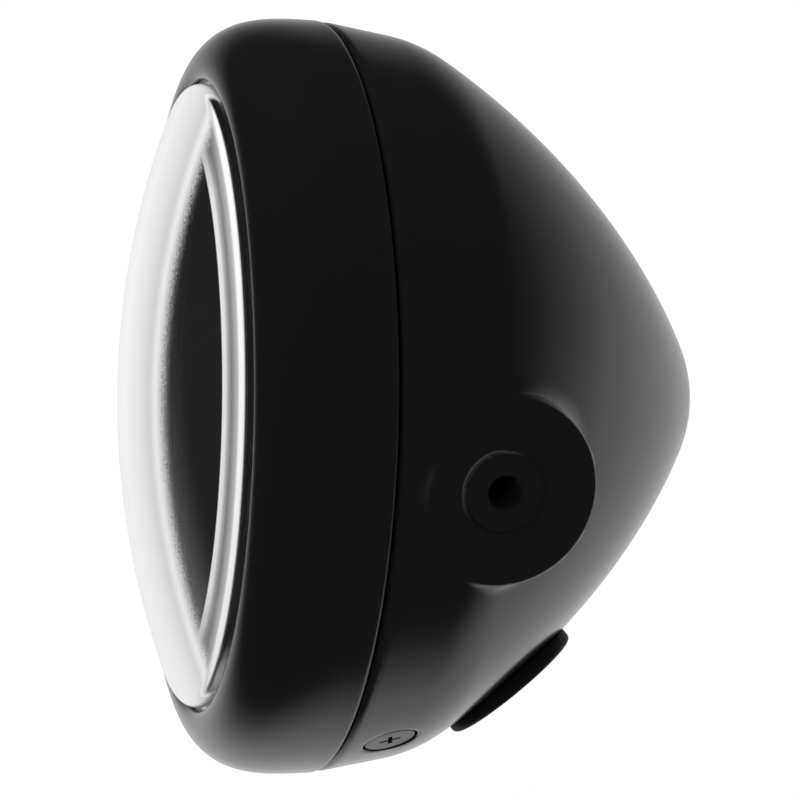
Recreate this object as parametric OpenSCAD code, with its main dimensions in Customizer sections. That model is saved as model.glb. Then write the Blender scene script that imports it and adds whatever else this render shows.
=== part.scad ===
// Round motorcycle headlight: a pressed steel shell carried by two side bosses, a trim ring
// held by a top hook and two screws, and a lens and reflector unit clipped into the ring.
// The lamp's axis is Y: the lens looks along -Y, the pointed back of the shell is at +Y, +Z is up.
// The origin is on the lamp's axis, halfway between the lens's crown and the tip of the shell.

/* [Shell] */
// Radius of the shell where it meets the trim ring, which sets the size of the lamp
shell_r = 84.9; // [80:0.1:95]
// Sheet thickness of the shell
shell_wall = 1.5; // [1:0.1:2]
// Slope of the first, straight stretch behind the seam, in degrees from the axis
rim_taper = 8.4; // [6:0.2:11]
// Length of that straight stretch
rim_straight = 15; // [12:0.5:18]
// Radius of the shoulder behind the straight stretch
shoulder_r = 31.1; // [25:0.5:40]
// Slope where the long flank starts
flank_start = 30.3; // [27:0.5:33]
// Radius of the long flank
flank_r = 183; // [176:1:188]
// Slope where the rounded tip starts
tip_start = 58; // [55:0.5:60]
// Length of the front spigot that slides into the trim ring
spigot_len = 9; // [6:0.5:10]

/* [Trim ring] */
// How far the ring stands out from the shell
ring_step = 0.1; // [0:0.05:0.4]
// Sheet thickness of the ring
ring_wall = 1.2; // [0.8:0.1:1.5]
// Depth of the ring from the seam to its front
ring_depth = 26; // [25:0.5:29]
// Width of the ring seen from the front, out from the crest where it turns back to the lens
ring_face_w = 12.5; // [11:0.1:14]
// How far the rear edge curls in
ring_curl = 0.3; // [0.1:0.1:0.5]
// Gap between the ring's rear edge and the shell
seam_gap = 0.3; // [0.2:0.1:0.6]
// Clearance between the ring and the spigot inside it
spigot_gap = 0.3; // [0.1:0.1:0.5]

/* [Lens unit] */
// Gap between the crest of the ring and the domed face of the lens
lens_gap = 2; // [1.8:0.1:4]
// Height of the dome
lens_dome = 13.2; // [8:0.2:16]
// Thickness of the glass
lens_wall = 3.5; // [2.5:0.1:4]
// How far the edge of the dome stands in front of the ring
lens_stand = 0.9; // [0.4:0.1:1.5]
// How far the flange of the lens and of the reflector reaches behind the crest of the ring
flange_reach = 2.5; // [1.5:0.1:3.5]
// Thickness of the soft ring between the lens and the trim ring
gasket_t = 1; // [0.6:0.1:1.4]
// Focal length of the reflector
focal = 23; // [21:0.5:25]
// How far the reflector's bowl lies inside the edge of the lens
bowl_in = 4.5; // [4:0.5:8]
// Sheet thickness of the reflector
bowl_wall = 1.4; // [1:0.1:1.8]
// Radius of the opening for the bulb
neck_r = 19; // [18.6:0.2:20]

/* [Mounting bosses] */
// How far the flat faces of the bosses lie inside the shell's largest radius
boss_in = 4.4; // [3.9:0.1:5.1]
// Radius of the boss
boss_r = 18; // [15:0.5:19]
// Rounding of the edge of the boss
boss_round = 1.6; // [0.8:0.2:2.2]
// Distance from the seam to the centre of the boss
boss_back = 21.9; // [20:0.5:24]
// Radius of the thread's bore, for an M8 bolt
boss_bore_r = 3.4; // [3.3:0.1:4.2]
// Radius of the threaded insert's collar
insert_r = 8; // [6.5:0.5:9]
// Length of the thread
insert_len = 14; // [10:0.5:18]

/* [Ring fixing] */
// Distance from the seam to the fixing screws
screw_back = 10.4; // [9:0.2:12]
// Angle of the screws from the lowest point, to either side
screw_clock = 42; // [30:1:60]
// Radius of the screw's head
screw_head_r = 5.6; // [5:0.1:6]
// Radius of the screw's thread
screw_r = 3; // [2.5:0.1:3]
// Length of the screw
screw_len = 13; // [11:0.5:16]
// Thickness of the brackets and the hook
strip_t = 1.5; // [1:0.1:2]
// Width of the brackets and the hook
strip_w = 14; // [12:0.5:18]

/* [Cable grommet] */
// Angle of the grommet from the lowest point, to the right
grommet_clock = 27; // [0:1:30]
// Slope of the shell at the middle of the grommet, in degrees
grommet_slope = 37.5; // [35:0.5:42]
// Radius of the grommet's head
grommet_r = 17; // [15:0.5:19]
// Thickness of the head at its middle
grommet_t = 2.8; // [2.4:0.2:4]
// Radius of the hole that it closes
grommet_hole_r = 12; // [9:0.5:13]

/* [Bulb] */
// Radius of the glass envelope
bulb_r = 8.5; // [7.5:0.1:9]
// Reach of the glass in front of the bulb's flange
bulb_len = 44; // [40:0.5:46]
// Radius of the bulb's flange
bulb_flange_r = 21.5; // [21:0.1:22.5]

/* [Hidden] */
$fn = 96;

// Directions in a section, written as [radius, y]: outward and along the surface at slope a
function out(a) = [cos(a), sin(a)];
function along(a) = [-sin(a), cos(a)];
function arc(c, r, a0, a1, n) = [for (i = [0:n]) c + r * out(a0 + (a1 - a0) * i / n)];
function flip(list) = [for (i = [len(list) - 1:-1:0]) list[i]];

// Radii and depths that follow from the sizes above
ring_r = shell_r + ring_step;
ring_crest_r = ring_r - ring_face_w;
lens_r = ring_crest_r - lens_gap;
unit_r = ring_crest_r + flange_reach;
bowl_r = lens_r - bowl_in;
boss_reach = shell_r - boss_in;
shoulder_from = rim_straight * along(rim_taper);
shoulder_step = shoulder_r * (out(flank_start) - out(rim_taper));
flank_step = flank_r * (out(tip_start) - out(flank_start));
tip_from = [shell_r, 0] + shoulder_from + shoulder_step + flank_step;
tip_r = tip_from[0] / cos(tip_start);
shell_depth = tip_from[1] + tip_r * (1 - sin(tip_start));
front_depth = ring_depth + lens_stand + lens_dome;
seam_y = (front_depth - shell_depth) / 2;
ring_front_y = seam_y - ring_depth;
lens_edge_y = ring_front_y - lens_stand;
rim = [shell_r, seam_y];
shoulder_c = rim + shoulder_from - shoulder_r * out(rim_taper);
flank_c = shoulder_c + (shoulder_r - flank_r) * out(flank_start);
tip_c = [0, seam_y + shell_depth - tip_r];
spigot_r = ring_r - ring_wall - ring_curl - spigot_gap;

// Outline of the shell from the seam to the tip, o inside its outer face
function shell_line(o, s) = concat(
    [rim + s * along(rim_taper) - o * out(rim_taper)],
    arc(shoulder_c, shoulder_r - o, rim_taper, flank_start, 5),
    arc(flank_c, flank_r - o, flank_start, tip_start, 12),
    arc(tip_c, tip_r - o, tip_start, 90, 5));

// Turns a section about the lamp's axis
module turned() rotate([-90, 0, 0]) rotate_extrude() children();
// Local frames whose z points out of the surface
module at_side(s) translate([0, seam_y + boss_back, 0]) rotate([0, s * 90, 0]) children();
module at_screw(s)
    rotate([0, 180 - s * screw_clock, 0])
        translate([0, screw_y, screw_face_r]) rotate([-rim_taper, 0, 0]) children();
module at_grommet()
    rotate([0, 180 - grommet_clock, 0])
        translate([0, grommet_p[1], grommet_p[0]]) rotate([-grommet_slope, 0, 0]) children();
module at_clock(a) rotate([0, a, 0]) children();
// A section in [y, radius] that runs w wide across a radius of the lamp
module strip(points, w)
    rotate([90, 0, 90]) translate([0, 0, -w / 2]) linear_extrude(w) polygon(points);

// Shell
over = 1;
edge_round = 0.5;
joggle = 4;
pocket_round = 0.5;
spigot_in_r = spigot_r - shell_wall;
screw_face = rim + screw_back / cos(rim_taper) * along(rim_taper);
screw_face_r = screw_face[0];
screw_y = screw_face[1];
dimple_gap = 0.7;
dimple_r = screw_head_r + dimple_gap;
dimple_deep = 0.5;
head_cone = screw_head_r - screw_r;
seat_land = 0.5;
seat_deep = dimple_deep + head_cone + seat_land;
plug_r = dimple_r + shell_wall;
hole_gap = 0.3;
grommet_p = flank_c + flank_r * out(grommet_slope);

module shell_solid(o) turned() polygon(concat([[0, seam_y - o], [shell_r - o, seam_y - o]],
    shell_line(o, edge_round)));
module shell_outside() turned() polygon(concat(
    [[0, seam_y - spigot_len], [spigot_r, seam_y - spigot_len], [spigot_r, seam_y]],
    [[shell_r - edge_round, seam_y]],
    shell_line(0, edge_round)));
module shell_cavity() turned() polygon(concat(
    [[0, seam_y - spigot_len - over], [spigot_in_r, seam_y - spigot_len - over]],
    [[spigot_in_r, seam_y + shell_wall]],
    shell_line(shell_wall, joggle)));
module boss() rotate_extrude() polygon(concat(
    [[0, boss_reach - boss_r], [boss_r, boss_reach - boss_r]],
    arc([boss_r - boss_round, boss_reach - boss_round], boss_round, 0, 90, 4),
    [[0, boss_reach]]));
module boss_pocket() rotate_extrude() polygon(concat(
    [[0, boss_reach - boss_r - over], [boss_r - shell_wall, boss_reach - boss_r - over]],
    [[boss_r - shell_wall, boss_reach - shell_wall - pocket_round]],
    [[boss_r - shell_wall - pocket_round, boss_reach - shell_wall], [0, boss_reach - shell_wall]]));
module screw_plug(s) intersection() {
    shell_solid(0);
    at_screw(s) translate([0, 0, -seat_deep]) cylinder(r = plug_r, h = seat_deep + joggle);
}
module screw_seat() {
    translate([0, 0, -dimple_deep]) cylinder(r = dimple_r, h = joggle);
    translate([0, 0, -dimple_deep - head_cone - hole_gap]) cylinder(
        r1 = screw_r + hole_gap, r2 = screw_head_r + 2 * hole_gap, h = head_cone + hole_gap + 0.01);
    translate([0, 0, -seat_deep - over]) cylinder(r = screw_r + hole_gap, h = seat_deep + over);
}
module headlight_shell() color([0.08, 0.08, 0.08]) difference() {
    union() {
        difference() {
            union() {
                shell_outside();
                for (s = [-1, 1]) at_side(s) boss();
            }
            shell_cavity();
            for (s = [-1, 1]) at_side(s) boss_pocket();
        }
        for (s = [-1, 1]) screw_plug(s);
    }
    for (s = [-1, 1]) at_side(s) translate([0, 0, boss_reach - boss_r])
        cylinder(r = insert_r + hole_gap / 2, h = boss_r + boss_in + over);
    for (s = [-1, 1]) at_screw(s) screw_seat();
    at_grommet() translate([0, 0, -grommet_hole_r]) cylinder(r = grommet_hole_r, h = 2 * grommet_hole_r);
}

// Threaded inserts, welded in from behind
insert_step = 1;
insert_flange_w = 5;
insert_flange_r = insert_r + insert_flange_w;
insert_flange_t = 3;
thread_entry = 0.5;
module mount_insert(s) color([0.15, 0.15, 0.15]) at_side(s) rotate_extrude() polygon([
    [boss_bore_r, boss_reach - insert_len],
    [insert_r + insert_step, boss_reach - insert_len],
    [insert_r + insert_step, boss_reach - shell_wall - insert_flange_t],
    [insert_flange_r, boss_reach - shell_wall - insert_flange_t],
    [insert_flange_r, boss_reach - shell_wall],
    [insert_r, boss_reach - shell_wall],
    [insert_r, boss_reach - thread_entry],
    [insert_r - thread_entry, boss_reach],
    [boss_bore_r + thread_entry, boss_reach],
    [boss_bore_r, boss_reach - thread_entry]]);
module mount_insert_left() mount_insert(-1);
module mount_insert_right() mount_insert(1);

// Closed rubber grommet, its head and its inner lip shaped to the shell
rubber_gap = 0.15;
lip_over = 3;
lip_t = 3;
head_edge = 1.9;
head_round = 1;
head_bow_r = (pow(grommet_r, 2) + pow(grommet_t - head_edge, 2)) / (2 * (grommet_t - head_edge));
head_bow = asin((grommet_r - head_round) / (head_bow_r - head_round));
head_round_c = [grommet_r - head_round, grommet_t - head_bow_r + (head_bow_r - head_round) * cos(head_bow)];
head_foot = 6;
core_foot = 2;
core_len = shell_wall + lip_t + core_foot;
function bow_point(a) = [head_bow_r * sin(a), grommet_t - head_bow_r * (1 - cos(a))];
module grommet_head() rotate_extrude() polygon(concat(
    [[0, -head_foot], [grommet_r, -head_foot]],
    arc(head_round_c, head_round, 0, 90 - head_bow, 4),
    [for (i = [1:6]) bow_point(head_bow * (1 - i / 6))]));
module cable_grommet() color([0.1, 0.1, 0.1]) {
    difference() {
        at_grommet() grommet_head();
        shell_solid(-rubber_gap);
    }
    at_grommet() translate([0, 0, -core_len])
        cylinder(r = grommet_hole_r - rubber_gap, h = core_len + head_edge);
    intersection() {
        at_grommet() translate([0, 0, -core_len]) cylinder(r = grommet_hole_r + lip_over, h = core_len);
        shell_solid(shell_wall + rubber_gap);
    }
}

// Trim ring: a pressed ring with an oval corner, its front edge turned back towards the lens
corner_long = 3.4;
corner_short = 1.8;
corner_steps = 14;
curl_len = 1.2;
corner_y = seam_y - seam_gap - curl_len;
lug_back = 9.6;
lug_y = corner_y - lug_back;
lug_t = 1.2;
lug_reach = 3;
lug_w = 16;
function corner(t, a, b, p, q) =
    [p + b * pow(cos(t), 2 / corner_short), q - a * pow(sin(t), 2 / corner_long)];
function corner_line(o) = [for (i = [0:corner_steps]) corner(90 * i / corner_steps,
    corner_y - ring_front_y - o, ring_r - ring_crest_r - o, ring_crest_r, corner_y)];
module ring_section() polygon(concat(
    [[ring_r - ring_curl - ring_wall, seam_y - seam_gap], [ring_r - ring_curl, seam_y - seam_gap]],
    corner_line(0),
    arc([ring_crest_r, ring_front_y + ring_wall / 2], ring_wall / 2, 240, 120, 4),
    flip(corner_line(ring_wall))));
module trim_ring() color([0.08, 0.08, 0.08]) {
    turned() ring_section();
    for (c = clip_clock) at_clock(c) intersection() {
        turned() translate([ring_r - ring_wall - lug_reach, lug_y - lug_t])
            square([lug_reach + ring_wall / 2, lug_t]);
        translate([-lug_w / 2, lug_y - 2 * lug_t, 0]) cube([lug_w, 3 * lug_t, ring_r]);
    }
}

// Lens unit: gasket, glass, sealant, reflector
flange_front_y = ring_front_y + ring_wall + gasket_t;
flange_t = 3.5;
lip_gap = 0.6;
lens_side_r = ring_crest_r - ring_wall - lip_gap;
glass_step = 1;
lens_in_r = bowl_r + glass_step;
lens_side_y = lens_edge_y + lens_stand;
dome_r = (pow(lens_r, 2) + pow(lens_dome, 2)) / (2 * lens_dome);
dome_c = [0, lens_edge_y - lens_dome + dome_r];
dome_a = asin(lens_r / dome_r);
dome_in_r = dome_r - lens_wall;
dome_in_a = asin(lens_in_r / dome_in_r);
sealant_t = 0.6;
bowl_y = flange_front_y + flange_t + sealant_t;
vertex_y = bowl_y + pow(bowl_r, 2) / (4 * focal);
neck_y = vertex_y - pow(neck_r, 2) / (4 * focal);
bowl_lean = 0.7;
function bowl_point(r, o) = [r + o * bowl_lean, vertex_y - pow(r, 2) / (4 * focal) + o];
function bowl_line(o) = [for (i = [0:14]) bowl_point(bowl_r + (neck_r - bowl_r) * i / 14, o)];
gasket_gap = 0.4;
gasket_slope = 1;
module lens_gasket() color([0.12, 0.12, 0.12]) turned() polygon([
    [lens_side_r + gasket_gap, flange_front_y - gasket_t],
    [ring_crest_r, flange_front_y - gasket_t],
    [unit_r + gasket_t, flange_front_y - gasket_t + gasket_slope],
    [unit_r + gasket_t, flange_front_y + flange_t],
    [unit_r, flange_front_y + flange_t],
    [unit_r, flange_front_y],
    [lens_side_r + gasket_gap, flange_front_y]]);
module headlight_lens() color([0.85, 0.88, 0.9, 0.4]) turned() polygon(concat(
    arc(dome_c, dome_r, -90, -90 + dome_a, 14),
    [[lens_side_r, lens_side_y], [lens_side_r, flange_front_y], [unit_r, flange_front_y]],
    [[unit_r, flange_front_y + flange_t], [lens_in_r, flange_front_y + flange_t]],
    arc(dome_c, dome_in_r, -90 + dome_in_a, -90, 14)));
module lens_sealant() color([0.2, 0.2, 0.2]) turned()
    translate([lens_in_r, flange_front_y + flange_t]) square([unit_r - lens_in_r, sealant_t]);

// Reflector, with a short tube for the parking light
parking_r = 38;
parking_hole_r = 7;
parking_tube_t = 1.4;
parking_out_r = parking_hole_r + parking_tube_t;
parking_tube_back = 3;
parking_tube_y = bowl_point(parking_r - parking_out_r, 0)[1] + parking_tube_back;
parking_tube_len = parking_tube_y - bowl_point(parking_r + parking_out_r, 0)[1];
neck_len = 5;
neck_end_y = neck_y + neck_len;
module at_parking() translate([0, parking_tube_y, -parking_r]) rotate([-90, 0, 0]) children();
module reflector() color([0.75, 0.76, 0.78]) difference() {
    union() {
        turned() polygon(concat(
            [[unit_r, bowl_y]], bowl_line(0), [[neck_r, neck_end_y]],
            [[neck_r + bowl_wall, neck_end_y]], flip(bowl_line(bowl_wall)), [[unit_r, bowl_y + bowl_wall]]));
        at_parking() translate([0, 0, -parking_tube_len]) cylinder(r = parking_out_r, h = parking_tube_len);
    }
    turned() polygon(concat([[0, bowl_y - over], [bowl_r, bowl_y - over]], bowl_line(0), [[0, neck_y]]));
    at_parking() translate([0, 0, -2 * parking_tube_len])
        cylinder(r = parking_hole_r, h = 3 * parking_tube_len);
}

// Part of a turned section, w wide about the clock angle a from the top
module ring_strip(points, a, w) intersection() {
    turned() polygon(points);
    at_clock(a) translate([-w / 2, seam_y - ring_depth, 0]) cube([w, 2 * ring_depth, ring_r]);
}
// Inner radius of the ring at y, o inside its outer face
function ring_inner(y, o) =
    let (t = asin(pow((corner_y - y) / (corner_y - ring_front_y - o), corner_long / 2)))
    ring_crest_r + (ring_r - ring_crest_r - o) * pow(cos(t), 2 / corner_short);
function inward(list, t) = flip([for (p = list) p - [t, 0]]);

// Spring clips that hold the lens unit in the ring
clip_clock = [-50, 50, 115, -115];
clip_t = 0.8;
clip_w = 10;
clip_foot_y = bowl_y + bowl_wall;
clip_back_y = lug_y - lug_t;
clip_gap = 0.5;
clip_bend_r = ring_r - ring_wall - lug_reach - clip_gap;
clip_hook = lug_reach - clip_gap - 0.1;
clip_heel_r = unit_r - 1;
clip_foot = 5;
module spring_clip(a) color([0.7, 0.7, 0.72]) at_clock(a) strip([
    [clip_foot_y, clip_heel_r - clip_foot],
    [clip_foot_y, clip_heel_r],
    [clip_back_y - clip_t, clip_bend_r],
    [clip_back_y - clip_t, clip_bend_r + clip_hook],
    [clip_back_y, clip_bend_r + clip_hook],
    [clip_back_y, clip_bend_r - clip_t / 2],
    [clip_foot_y + clip_t, clip_heel_r - clip_t / 2],
    [clip_foot_y + clip_t, clip_heel_r - clip_foot]], clip_w);
module spring_clip_upper_left() spring_clip(clip_clock[0]);
module spring_clip_upper_right() spring_clip(clip_clock[1]);
module spring_clip_lower_right() spring_clip(clip_clock[2]);
module spring_clip_lower_left() spring_clip(clip_clock[3]);

// Brackets, hook, screws and nuts that hold the ring on the shell
weld_gap = 0.1;
foot_len = 4.4;
foot_end_y = lug_y + 0.4;
foot_y = foot_end_y - foot_len;
run_gap = 0.5;
run_r = spigot_in_r - run_gap;
run_y = seam_y - spigot_len - run_gap + 0.1;
foot = [for (i = [0:4]) let (y = foot_y + foot_len * i / 4) [ring_inner(y, ring_wall + weld_gap), y]];
pad_gap = 0.2;
pad_half = plug_r + 1;
function pad_point(s) = screw_face - (seat_deep + pad_gap) * out(rim_taper) + s * along(rim_taper);
bracket_line = concat(foot, [[run_r, run_y], [run_r, seam_y + run_gap],
    pad_point(1 - pad_half), pad_point(pad_half)]);
hook_up = 0.9;
hook_y = seam_y + shell_wall + joggle - run_gap;
hook_line = concat(foot, [[run_r, run_y], [run_r, hook_y - strip_t / 4]]);
module ring_bracket(s) color([0.6, 0.6, 0.62]) difference() {
    ring_strip(concat(bracket_line, inward(bracket_line, strip_t)), 180 - s * screw_clock, strip_w);
    at_screw(s) translate([0, 0, -seat_deep - 5 * strip_t]) cylinder(r = screw_r + hole_gap, h = 6 * strip_t);
}
module ring_bracket_left() ring_bracket(-1);
module ring_bracket_right() ring_bracket(1);
module top_hook() color([0.6, 0.6, 0.62]) ring_strip(concat(hook_line,
    [[run_r + hook_up, hook_y], [run_r + hook_up, hook_y + strip_t], [run_r - strip_t, hook_y + strip_t]],
    inward(hook_line, strip_t)), 0, strip_w);
nut_h = 5;
nut_wall = 2.76;
nut_r = screw_r + nut_wall;
nut_gap = 0.3;
thread_gap = 0.1;
nut_top = seat_deep + pad_gap + strip_t + nut_gap;
module captive_nut(s) color([0.7, 0.7, 0.68]) at_screw(s) translate([0, 0, -nut_top - nut_h]) difference() {
    cylinder(r = nut_r, h = nut_h, $fn = 6);
    translate([0, 0, -over]) cylinder(r = screw_r + thread_gap, h = nut_h + 2 * over);
}
module captive_nut_left() captive_nut(-1);
module captive_nut_right() captive_nut(1);
cross_w = 0.9;
cross_l = 4.7;
cross_deep = 2.2;
cross_turn = 13;
head_edge_t = 0.3;
screw_top = -dimple_deep;
screw_end = screw_top - screw_len;
screw_point = 0.6;
module fixing_screw(s) color([0.2, 0.2, 0.2]) at_screw(s) difference() {
    rotate_extrude() polygon([
        [0, screw_top], [screw_head_r, screw_top],
        [screw_head_r, screw_top - head_edge_t], [screw_r, screw_top - head_edge_t - head_cone],
        [screw_r, screw_end + screw_point], [screw_r - screw_point, screw_end],
        [0, screw_end]]);
    for (a = [0, 90]) rotate([0, 0, a + cross_turn])
        translate([-cross_l / 2, -cross_w / 2, screw_top - cross_deep])
            cube([cross_l, cross_w, cross_deep + over]);
}
module fixing_screw_left() fixing_screw(-1);
module fixing_screw_right() fixing_screw(1);

// Bulb and what holds it
collar_t = 1.2;
collar_w = 5.5;
collar_r = bulb_flange_r + collar_w;
collar_gap = 0.3;
collar_bore_r = neck_r - 1.2;
collar_rim_in = bulb_flange_r + collar_gap;
collar_rim_t = 0.9;
collar_rim_h = 1;
bulb_y = neck_end_y + collar_t;
flange_plate_t = 1.2;
cup_r = neck_r - 2;
cup_len = 5;
base_r = 11;
base_len = 13;
base_round = 0.6;
cup_slope = 2;
module bulb_collar() color([0.7, 0.7, 0.7]) turned() polygon([
    [collar_bore_r, neck_end_y], [collar_r, neck_end_y], [collar_r, bulb_y],
    [collar_rim_in + collar_rim_t, bulb_y], [collar_rim_in + collar_rim_t, bulb_y + collar_rim_h],
    [collar_rim_in, bulb_y + collar_rim_h], [collar_rim_in, bulb_y], [collar_bore_r, bulb_y]]);
module bulb_base() color([0.65, 0.65, 0.62]) turned() polygon([
    [0, bulb_y - cup_len], [base_r, bulb_y - cup_len], [cup_r, bulb_y - cup_len + cup_slope], [cup_r, bulb_y],
    [bulb_flange_r, bulb_y], [bulb_flange_r, bulb_y + flange_plate_t], [base_r, bulb_y + flange_plate_t],
    [base_r, bulb_y + base_len - base_round], [base_r - base_round, bulb_y + base_len],
    [0, bulb_y + base_len]]);
glass_t = 0.9;
glass_foot_y = bulb_y - cup_len;
dome_y = bulb_y - bulb_len + bulb_r;
module bulb_glass() color([0.9, 0.92, 0.95, 0.4]) turned() polygon(concat(
    [[bulb_r, glass_foot_y]], arc([0, dome_y], bulb_r, 0, -90, 8),
    arc([0, dome_y], bulb_r - glass_t, -90, 0, 8), [[bulb_r - glass_t, glass_foot_y]]));
coil_r = 0.9;
coil_len = 5;
post_r = 0.5;
post_gap = 3;
coil_back = [22, 29.5];
module rod(a, b, r) translate(a) let (d = b - a, l = norm(d))
    rotate([0, acos(d[2] / l), atan2(d[1], d[0])]) cylinder(r = r, h = l, $fn = 24);
module filament(x, y) {
    translate([x, glass_foot_y, 0]) rotate([90, 0, 0]) cylinder(r = post_r, h = glass_foot_y - y);
    rod([x, y + post_r, 0], [0, y + post_r, 0], post_r);
    translate([0, y + coil_len / 2, 0]) rotate([90, 0, 0]) cylinder(r = coil_r, h = coil_len);
}
module bulb_filaments() color([0.5, 0.5, 0.52])
    for (i = [0, 1]) filament((2 * i - 1) * post_gap, bulb_y - coil_back[i]);
blade_w = 8;
blade_t = 0.8;
blade_len = 10;
blade_out = 6.5;
module bulb_contacts() color([0.75, 0.7, 0.6]) translate([0, bulb_y + base_len, 0]) for (a = [0, 90, -90])
    rotate([0, a, 0]) translate([-blade_w / 2, 0, blade_out]) cube([blade_w, blade_len, blade_t]);
wire_r = 0.65;
bail_r = 13.5;
bail_top = 8;
bail_foot = 18;
bail_toe = 3;
bail_y = bulb_y + flange_plate_t + wire_r;
module bulb_retaining_spring() color([0.6, 0.6, 0.6]) translate([0, bail_y, 0]) {
    translate([0, 0, bail_top]) rotate([90, 0, 0]) rotate_extrude(angle = 180)
        translate([bail_r, 0]) circle(r = wire_r, $fn = 24);
    for (s = [-1, 1]) {
        translate([s * bail_r, 0, -bail_foot]) {
            cylinder(r = wire_r, h = bail_foot + bail_top, $fn = 24);
            rotate([0, s * 90, 0]) cylinder(r = wire_r, h = bail_toe, $fn = 24);
            sphere(r = wire_r, $fn = 24);
        }
    }
}
boot_t = 2;
boot_gap = 0.15;
boot_in_r = collar_r + boot_gap;
boot_grip_r = base_r + boot_gap;
boot_lap = 1;
boot_step_y = bail_y + wire_r + 0.8;
boot_neck_y = bulb_y + base_len - 4;
boot_end_y = bulb_y + base_len + 2;
module rubber_boot() color([0.12, 0.12, 0.12]) turned() polygon([
    [boot_in_r, neck_end_y - boot_lap],
    [boot_in_r + boot_t, neck_end_y - boot_lap],
    [boot_in_r + boot_t, boot_step_y],
    [boot_grip_r + 2 * boot_t, boot_neck_y + boot_t],
    [boot_grip_r + boot_t, boot_neck_y + boot_t + boot_t / 4],
    [boot_grip_r + boot_t, boot_end_y],
    [boot_grip_r, boot_end_y],
    [boot_grip_r, boot_neck_y],
    [boot_grip_r + boot_t, boot_neck_y],
    [boot_in_r, boot_step_y]]);
holder_r = parking_hole_r - rubber_gap;
holder_in = 8;
holder_rim = 1;
holder_flange_r = parking_out_r + holder_rim;
holder_flange_t = 2;
holder_grip = 9;
holder_grip_r = holder_r - 0.6;
holder_round = 0.8;
module parking_bulb_holder() color([0.1, 0.1, 0.1]) at_parking() rotate_extrude() polygon([
    [0, -holder_in], [holder_r, -holder_in], [holder_r, 0], [holder_flange_r, 0],
    [holder_flange_r, holder_flange_t], [holder_grip_r, holder_flange_t],
    [holder_grip_r, holder_grip - holder_round], [holder_grip_r - holder_round, holder_grip],
    [0, holder_grip]]);
parking_bulb_r = 5;
parking_bulb_len = 18;
module parking_bulb() color([0.9, 0.92, 0.95, 0.4]) at_parking() translate([0, 0, -holder_in])
    rotate_extrude() polygon(concat([[0, 0], [parking_bulb_r, 0]],
        arc([0, parking_bulb_r - parking_bulb_len], parking_bulb_r, 0, -90, 6)));

headlight_shell();
mount_insert_left();
mount_insert_right();
cable_grommet();
trim_ring();
ring_bracket_left();
ring_bracket_right();
top_hook();
captive_nut_left();
captive_nut_right();
fixing_screw_left();
fixing_screw_right();
lens_gasket();
headlight_lens();
lens_sealant();
reflector();
spring_clip_upper_left();
spring_clip_upper_right();
spring_clip_lower_left();
spring_clip_lower_right();
bulb_collar();
bulb_base();
bulb_glass();
bulb_filaments();
bulb_contacts();
bulb_retaining_spring();
rubber_boot();
parking_bulb_holder();
parking_bulb();
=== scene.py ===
# Round motorcycle headlight: black enamelled shell and trim ring, clear domed glass and a faceted
# mirror behind it. The lamp's axis is Y, the glass looks along -Y and +Z is up.
import math
import bmesh
import bpy
from mathutils import Matrix, Vector


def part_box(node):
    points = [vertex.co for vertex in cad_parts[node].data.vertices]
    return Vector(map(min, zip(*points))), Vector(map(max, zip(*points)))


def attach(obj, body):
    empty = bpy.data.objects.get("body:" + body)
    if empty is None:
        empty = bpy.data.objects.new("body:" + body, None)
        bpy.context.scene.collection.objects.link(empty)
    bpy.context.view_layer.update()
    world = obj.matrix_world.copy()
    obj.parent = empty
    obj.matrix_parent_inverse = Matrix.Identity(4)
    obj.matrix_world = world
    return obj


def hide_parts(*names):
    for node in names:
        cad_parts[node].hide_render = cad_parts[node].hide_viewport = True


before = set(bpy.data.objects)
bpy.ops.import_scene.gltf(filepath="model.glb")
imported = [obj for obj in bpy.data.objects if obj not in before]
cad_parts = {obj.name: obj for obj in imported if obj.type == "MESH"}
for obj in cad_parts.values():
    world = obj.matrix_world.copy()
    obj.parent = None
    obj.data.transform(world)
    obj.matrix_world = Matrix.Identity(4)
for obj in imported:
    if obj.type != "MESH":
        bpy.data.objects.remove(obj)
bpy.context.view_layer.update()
mm = 0.001
up = Vector((0, 0, 1))
quarterTurn = Matrix.Rotation(math.pi / 2, 4, "X")  # from along Y to along Z
print("frame loaded, nodes:", len(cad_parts))

# All lengths below are in millimetres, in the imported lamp's own frame
lamp = {
    "seamGap": 0.3, "shellRadius": 84.9, "ringRadius": 85.0, "crestRadius": 72.5, "turnSteps": 288,
}
ringLow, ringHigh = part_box("trim_ring")
ringFrontY = ringLow.y / mm
seamY = ringHigh.y / mm + lamp["seamGap"]


# Points of a section are vectors of radius and Y, and slopes are in degrees
def out(slope):
    return Vector((math.cos(math.radians(slope)), math.sin(math.radians(slope))))


def along(slope):
    return Vector((-math.sin(math.radians(slope)), math.cos(math.radians(slope))))


def arc(centre, radius, start, end, steps):
    return [centre + radius * out(start + (end - start) * i / steps) for i in range(steps + 1)]


def mix(a, b, t):
    return a + (b - a) * t


# Smooth rise from 0 at low to 1 at high
def ease(low, high, value):
    t = min(max((value - low) / (high - low), 0.0), 1.0)
    return t * t * (3 - 2 * t)


# Materials
def linear(hexColour):
    channels = [int(hexColour[i:i + 2], 16) / 255 for i in (1, 3, 5)]
    return tuple(c / 12.92 if c <= 0.04045 else ((c + 0.055) / 1.055) ** 2.4 for c in channels) + (1.0,)


def grey(level):
    return (level, level, level, 1)


def addNode(tree, kind, settings=None, links=None):
    node = tree.nodes.new(kind)
    for key, value in (settings or {}).items():
        if isinstance(key, int) or key in node.inputs:
            node.inputs[key].default_value = value
        else:
            setattr(node, key, value)
    for key, source in (links or {}).items():
        tree.links.new(source, node.inputs[key])
    return node


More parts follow.
